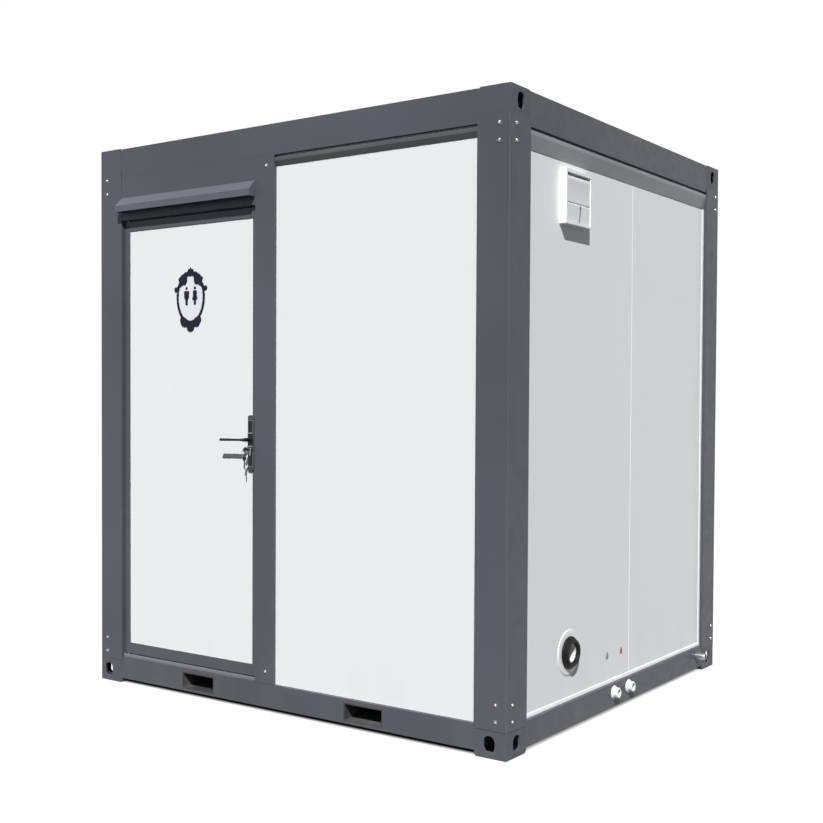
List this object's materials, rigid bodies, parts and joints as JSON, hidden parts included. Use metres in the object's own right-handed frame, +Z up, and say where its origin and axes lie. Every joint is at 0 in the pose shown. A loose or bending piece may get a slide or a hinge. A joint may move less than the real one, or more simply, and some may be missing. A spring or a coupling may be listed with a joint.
{
  "type": "portable toilet cabin",
  "caption": "Flat-pack steel-framed toilet cabin with a hinged door and lock, rain hood, vent, pipe connections, fork pockets, and a toilet, washbasin and lamp inside.",
  "frame": {"origin": "centre of the footprint of the four corner castings, on the ground", "axes": "+Z up; -Y towards the side with the door; +X towards the side with the vent and pipe connections"},
  "size_m": [2.1635, 1.966, 2.35],
  "materials": {
    "frame_paint": "satin dark grey paint",
    "casting_paint": "satin dark grey paint over cast steel",
    "drip_paint": "satin grey paint",
    "wall_skin": "smooth off-white coil-coated steel",
    "door_skin": "smooth off-white coil-coated steel",
    "pocket_steel": "dark paint, scuffed by forks",
    "joist_steel": "primed steel",
    "roof_sheet": "coil-coated steel, weathered",
    "floor_wood": "sealed plywood",
    "floor_vinyl": "speckled vinyl",
    "zinc_bolts": "bright zinc plate",
    "seal_rubber": "matt",
    "lock_steel": "brushed",
    "lock_black": "black satin coat",
    "key_metal": "nickel plated",
    "vent_plastic": "off-white, weathered",
    "motor_black": "moulded",
    "fan_plastic": "moulded",
    "white_plastic": "moulded",
    "coupling_rubber": "matt",
    "pipe_steel": "dull galvanised",
    "glaze": "white glaze",
    "chrome": "polished",
    "lamp_opal": "opal",
    "paper": "soft tissue"
  },
  "bodies": {
    "cabin": {"base_corner_castings": "casting_paint", "roof_corner_castings": "casting_paint", "corner_posts": "frame_paint", "door_post": "frame_paint", "base_cross_beams": "frame_paint", "base_side_beams": "frame_paint", "fork_pockets": "pocket_steel", "floor_joists": "joist_steel", "floor_board": "floor_wood", "floor_covering": "floor_vinyl", "roof_beams": "frame_paint", "roof_panel": "roof_sheet", "ceiling_panel": "wall_skin", "frame_bolts": "zinc_bolts", "drip_profiles": "drip_paint", "front_wall_panel": "wall_skin", "door_header_panel": "frame_paint", "service_wall_panel": "wall_skin", "side_wall_panels": "wall_skin", "back_wall_panels": "wall_skin", "rain_hood": "frame_paint", "door_frame": "frame_paint", "door_seal": "seal_rubber", "door_pivots": "lock_steel", "strike_plate": "lock_steel", "vent_housing": "vent_plastic", "fan_motor": "motor_black", "vent_grille": "vent_plastic", "outlet_flange": "white_plastic", "outlet_coupling": "coupling_rubber", "water_inlets": "white_plastic", "drain_stub": "pipe_steel", "toilet_pan": "glaze", "cistern": "glaze", "washbasin": "glaze", "basin_trap": "white_plastic", "basin_tap": "chrome", "ceiling_lamp": "lamp_opal", "wall_switch": "white_plastic", "paper_holder": "chrome"},
    "door": {"door_leaf_frame": "frame_paint", "door_panel": "door_skin", "lock_case": "lock_steel", "lock_plates": "lock_black", "lock_cylinder": "key_metal"},
    "levers": {"door_levers": "lock_black"},
    "latch": {"latch_bolt": "lock_steel"},
    "bolt": {"dead_bolt": "lock_steel"},
    "key": {"key": "key_metal"},
    "spare": {"spare_key": "key_metal"},
    "upper_flap": {"vent_upper_flap": "vent_plastic"},
    "lower_flap": {"vent_lower_flap": "vent_plastic"},
    "rotor": {"fan_rotor": "fan_plastic"},
    "seat": {"toilet_seat": "white_plastic"},
    "lid": {"toilet_lid": "white_plastic"},
    "flush": {"flush_button": "chrome"},
    "tap_head": {"tap_head": "chrome"},
    "tap_lever": {"tap_lever": "chrome"},
    "rocker": {"switch_rocker": "white_plastic"},
    "roll": {"paper_roll": "paper"}
  },
  "joints": [
    {"name": "door_swing", "type": "hinge", "parent": "cabin", "child": "door", "pos_m": [-0.904, -0.934, 1.08], "axis": [0, 0, -1], "range_deg": [0, 100]},
    {"name": "lever_turn", "type": "hinge", "parent": "door", "child": "levers", "pos_m": [-0.162, -0.923, 1.093], "axis": [0, -1, 0], "range_deg": [0, 35], "stiffness_Nm_per_rad": 1.5, "springref_deg": -20.05},
    {"name": "latch_slide", "type": "slide", "parent": "door", "child": "latch", "axis": [-1, 0, 0], "range_m": [0, 0.012]},
    {"name": "key_turn", "type": "hinge", "parent": "door", "child": "key", "pos_m": [-0.162, -0.923, 1.053], "axis": [0, 1, 0], "range_deg": [0, 90]},
    {"name": "bolt_slide", "type": "slide", "parent": "door", "child": "bolt", "axis": [1, 0, 0], "range_m": [0, 0.02]},
    {"name": "spare_key_swing", "type": "hinge", "parent": "key", "child": "spare", "pos_m": [-0.162, -0.9845, 1.053], "axis": [-1, 0, 0], "range_deg": [-12, 60]},
    {"name": "upper_flap_swing", "type": "hinge", "parent": "cabin", "child": "upper_flap", "pos_m": [1.0627, -0.475, 2.089], "axis": [0, -1, 0], "range_deg": [0, 60]},
    {"name": "lower_flap_swing", "type": "hinge", "parent": "cabin", "child": "lower_flap", "pos_m": [1.0627, -0.475, 1.99], "axis": [0, -1, 0], "range_deg": [0, 60]},
    {"name": "fan_spin", "type": "hinge", "parent": "cabin", "child": "rotor", "pos_m": [1.003, -0.475, 2.015], "axis": [1, 0, 0], "continuous": true},
    {"name": "seat_hinge", "type": "hinge", "parent": "cabin", "child": "seat", "pos_m": [0.76007, -0.475, 0.5533], "axis": [0, 1, 0], "range_deg": [0, 92]},
    {"name": "lid_hinge", "type": "hinge", "parent": "cabin", "child": "lid", "pos_m": [0.76007, -0.475, 0.5533], "axis": [0, 1, 0], "range_deg": [-96, 0]},
    {"name": "flush_press", "type": "slide", "parent": "cabin", "child": "flush", "axis": [0, 0, -1], "range_m": [0, 0.005], "stiffness_N_per_m": 400, "springref_m": -0.003},
    {"name": "tap_turn", "type": "hinge", "parent": "cabin", "child": "tap_head", "pos_m": [0.9374, 0.46, 1.043], "axis": [0, 0, 1], "range_deg": [-45, 45]},
    {"name": "tap_lift", "type": "hinge", "parent": "tap_head", "child": "tap_lever", "pos_m": [0.9374, 0.46, 1.0586], "axis": [0, 1, 0], "range_deg": [0, 25]},
    {"name": "switch_rock", "type": "hinge", "parent": "cabin", "child": "rocker", "pos_m": [0.061, -0.8844, 1.286], "axis": [1, 0, 0], "range_deg": [0, 10]},
    {"name": "roll_spin", "type": "hinge", "parent": "cabin", "child": "roll", "pos_m": [0.5337, -0.8324, 0.756], "axis": [1, 0, 0], "continuous": true}
  ],
  "couplings": [
    {"joint": "latch_slide", "follows": "lever_turn", "m_per_rad": 0.01964},
    {"joint": "bolt_slide", "follows": "key_turn", "m_per_rad": 0.01273}
  ]
}
